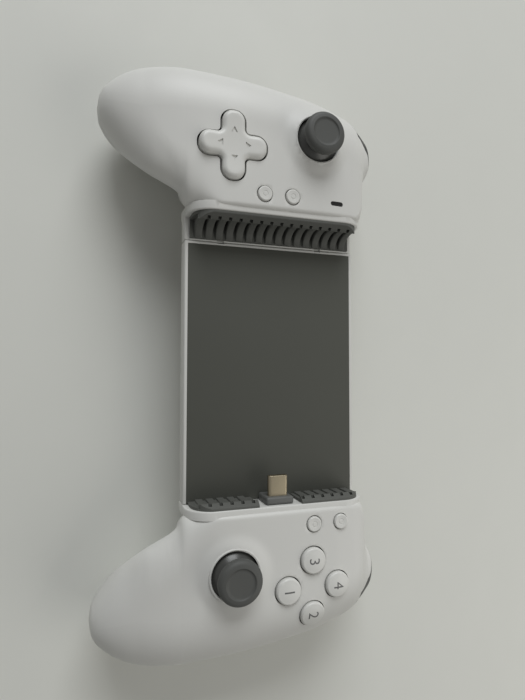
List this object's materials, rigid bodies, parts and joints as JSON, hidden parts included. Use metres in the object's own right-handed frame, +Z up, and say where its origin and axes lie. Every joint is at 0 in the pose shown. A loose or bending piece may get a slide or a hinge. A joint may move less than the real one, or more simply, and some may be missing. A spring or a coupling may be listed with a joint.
{
  "type": "mobile game controller",
  "caption": "White telescopic game controller for a phone: two rounded grips with sticks, cross pad, buttons, bumpers and triggers, joined by a sliding bridge with a plug in the phone bay.",
  "frame": {"origin": "centre of the whole part's footprint, on the table it lies on", "axes": "+X along the bridge towards the grip with the plug, +Y towards the shoulder buttons, +Z up out of the faces"},
  "size_m": [0.238, 0.1256, 0.0536],
  "materials": {
    "white_shell": "fine matte moulded white",
    "white_key": "smooth satin white",
    "grip_rubber": "matte dark grey rubber",
    "stick_rubber": "matte grey rubber",
    "dark_plate": "fine matte dark olive grey",
    "grey_plastic": "matte grey",
    "black_plastic": "matte black",
    "shoulder_plastic": "satin dark grey",
    "plug_metal": "satin champagne plating",
    "bright_metal": "plain steel",
    "circuit_board": "green solder mask",
    "silicone": "matte silicone",
    "cable_film": "amber film"
  },
  "bodies": {
    "base": {"right_front_shell": "white_shell", "right_rear_shell": "white_shell", "right_pad_lower": "grip_rubber", "right_pad_upper": "grip_rubber", "plug_boss": "grey_plastic", "plug_shell": "plug_metal", "plug_tongue": "black_plastic", "bridge_frame": "white_shell", "bridge_cover": "white_shell", "phone_plate": "dark_plate", "right_board": "circuit_board", "right_key_mat": "silicone", "right_switches": "black_plastic", "right_stick_housing": "bright_metal", "right_bracket": "grey_plastic", "right_pins": "bright_metal", "right_screws": "bright_metal", "return_springs": "bright_metal", "flat_cable": "cable_film"},
    "left_grip": {"left_front_shell": "white_shell", "left_rear_shell": "white_shell", "left_pad": "grip_rubber", "slide_tongue": "grey_plastic", "left_board": "circuit_board", "left_key_mat": "silicone", "left_switches": "black_plastic", "left_stick_housing": "bright_metal", "cross_post": "grey_plastic", "left_bracket": "grey_plastic", "left_pins": "bright_metal", "left_screws": "bright_metal", "status_window": "black_plastic"},
    "right_stick_click": {"right_stick_carrier": "grey_plastic"},
    "right_stick_tilt": {"right_stick_yoke": "grey_plastic"},
    "right_stick": {"right_stick_shaft": "bright_metal", "right_stick_cap": "stick_rubber"},
    "right_bumper": {"right_bumper": "shoulder_plastic"},
    "right_trigger": {"right_trigger": "shoulder_plastic"},
    "left_stick_click": {"left_stick_carrier": "grey_plastic"},
    "left_stick_tilt": {"left_stick_yoke": "grey_plastic"},
    "left_stick": {"left_stick_shaft": "bright_metal", "left_stick_cap": "stick_rubber"},
    "left_bumper": {"left_bumper": "shoulder_plastic"},
    "left_trigger": {"left_trigger": "shoulder_plastic"},
    "cross_rocker": {"cross_gimbal": "grey_plastic"},
    "cross": {"cross_pad": "white_key"},
    "round_key_1": {"round_button_1": "white_key"},
    "round_key_2": {"round_button_2": "white_key"},
    "round_key_3": {"round_button_3": "white_key"},
    "round_key_4": {"round_button_4": "white_key"},
    "small_key_1": {"small_button_1": "white_key"},
    "small_key_2": {"small_button_2": "white_key"},
    "small_key_3": {"small_button_3": "white_key"},
    "small_key_4": {"small_button_4": "white_key"}
  },
  "joints": [
    {"name": "bridge_slide", "type": "slide", "parent": "base", "child": "left_grip", "axis": [-1, 0, 0], "range_m": [0, 0.06], "stiffness_N_per_m": 60, "springref_m": -0.05, "deforming": ["return_springs", "flat_cable"]},
    {"name": "right_stick_press", "type": "slide", "parent": "base", "child": "right_stick_click", "axis": [0, 0, -1], "range_m": [0, 0.0005], "stiffness_N_per_m": 3000, "springref_m": -0.0004},
    {"name": "right_stick_tilt_x", "type": "hinge", "parent": "right_stick_click", "child": "right_stick_tilt", "pos_m": [0.0825, -0.0104, 0.0365], "axis": [1, 0, 0], "range_deg": [-13, 13], "stiffness_Nm_per_rad": 0.05},
    {"name": "right_stick_tilt_y", "type": "hinge", "parent": "right_stick_tilt", "child": "right_stick", "pos_m": [0.0825, -0.0104, 0.0365], "axis": [0, 1, 0], "range_deg": [-13, 13], "stiffness_Nm_per_rad": 0.05},
    {"name": "right_bumper_press", "type": "hinge", "parent": "base", "child": "right_bumper", "pos_m": [0.073, 0.0443, 0.0296], "axis": [0, 0, -1], "range_deg": [0, 2.5], "stiffness_Nm_per_rad": 1.5, "springref_deg": -1.15},
    {"name": "right_trigger_pull", "type": "hinge", "parent": "base", "child": "right_trigger", "pos_m": [0.0858, 0.043, 0.0219], "axis": [-1, 0, 0], "range_deg": [0, 15], "stiffness_Nm_per_rad": 0.3, "springref_deg": -8.59},
    {"name": "left_stick_press", "type": "slide", "parent": "left_grip", "child": "left_stick_click", "axis": [0, 0, -1], "range_m": [0, 0.0005], "stiffness_N_per_m": 3000, "springref_m": -0.0004},
    {"name": "left_stick_tilt_x", "type": "hinge", "parent": "left_stick_click", "child": "left_stick_tilt", "pos_m": [-0.0913, 0.0245, 0.0365], "axis": [1, 0, 0], "range_deg": [-13, 13], "stiffness_Nm_per_rad": 0.05},
    {"name": "left_stick_tilt_y", "type": "hinge", "parent": "left_stick_tilt", "child": "left_stick", "pos_m": [-0.0913, 0.0245, 0.0365], "axis": [0, 1, 0], "range_deg": [-13, 13], "stiffness_Nm_per_rad": 0.05},
    {"name": "left_bumper_press", "type": "hinge", "parent": "left_grip", "child": "left_bumper", "pos_m": [-0.073, 0.0443, 0.0296], "axis": [0, 0, 1], "range_deg": [0, 2.5], "stiffness_Nm_per_rad": 1.5, "springref_deg": -1.15},
    {"name": "left_trigger_pull", "type": "hinge", "parent": "left_grip", "child": "left_trigger", "pos_m": [-0.0858, 0.043, 0.0219], "axis": [-1, 0, 0], "range_deg": [0, 15], "stiffness_Nm_per_rad": 0.3, "springref_deg": -8.59},
    {"name": "cross_tilt_x", "type": "hinge", "parent": "left_grip", "child": "cross_rocker", "pos_m": [-0.08415, -0.0117, 0.041], "axis": [1, 0, 0], "range_deg": [-4, 4], "stiffness_Nm_per_rad": 0.2},
    {"name": "cross_tilt_y", "type": "hinge", "parent": "cross_rocker", "child": "cross", "pos_m": [-0.08415, -0.0117, 0.041], "axis": [0, 1, 0], "range_deg": [-4, 4], "stiffness_Nm_per_rad": 0.2},
    {"name": "round_button_1_press", "type": "slide", "parent": "base", "child": "round_key_1", "axis": [0, 0, -1], "range_m": [0, 0.0013], "stiffness_N_per_m": 600, "springref_m": -0.0008},
    {"name": "round_button_2_press", "type": "slide", "parent": "base", "child": "round_key_2", "axis": [0, 0, -1], "range_m": [0, 0.0013], "stiffness_N_per_m": 600, "springref_m": -0.0008},
    {"name": "round_button_3_press", "type": "slide", "parent": "base", "child": "round_key_3", "axis": [0, 0, -1], "range_m": [0, 0.0013], "stiffness_N_per_m": 600, "springref_m": -0.0008},
    {"name": "round_button_4_press", "type": "slide", "parent": "base", "child": "round_key_4", "axis": [0, 0, -1], "range_m": [0, 0.0013], "stiffness_N_per_m": 600, "springref_m": -0.0008},
    {"name": "small_button_1_press", "type": "slide", "parent": "left_grip", "child": "small_key_1", "axis": [0, 0, -1], "range_m": [0, 0.0005], "stiffness_N_per_m": 2000, "springref_m": -0.0004},
    {"name": "small_button_2_press", "type": "slide", "parent": "left_grip", "child": "small_key_2", "axis": [0, 0, -1], "range_m": [0, 0.0005], "stiffness_N_per_m": 2000, "springref_m": -0.0004},
    {"name": "small_button_3_press", "type": "slide", "parent": "base", "child": "small_key_3", "axis": [0, 0, -1], "range_m": [0, 0.0005], "stiffness_N_per_m": 2000, "springref_m": -0.0004},
    {"name": "small_button_4_press", "type": "slide", "parent": "base", "child": "small_key_4", "axis": [0, 0, -1], "range_m": [0, 0.0005], "stiffness_N_per_m": 2000, "springref_m": -0.0004}
  ]
}
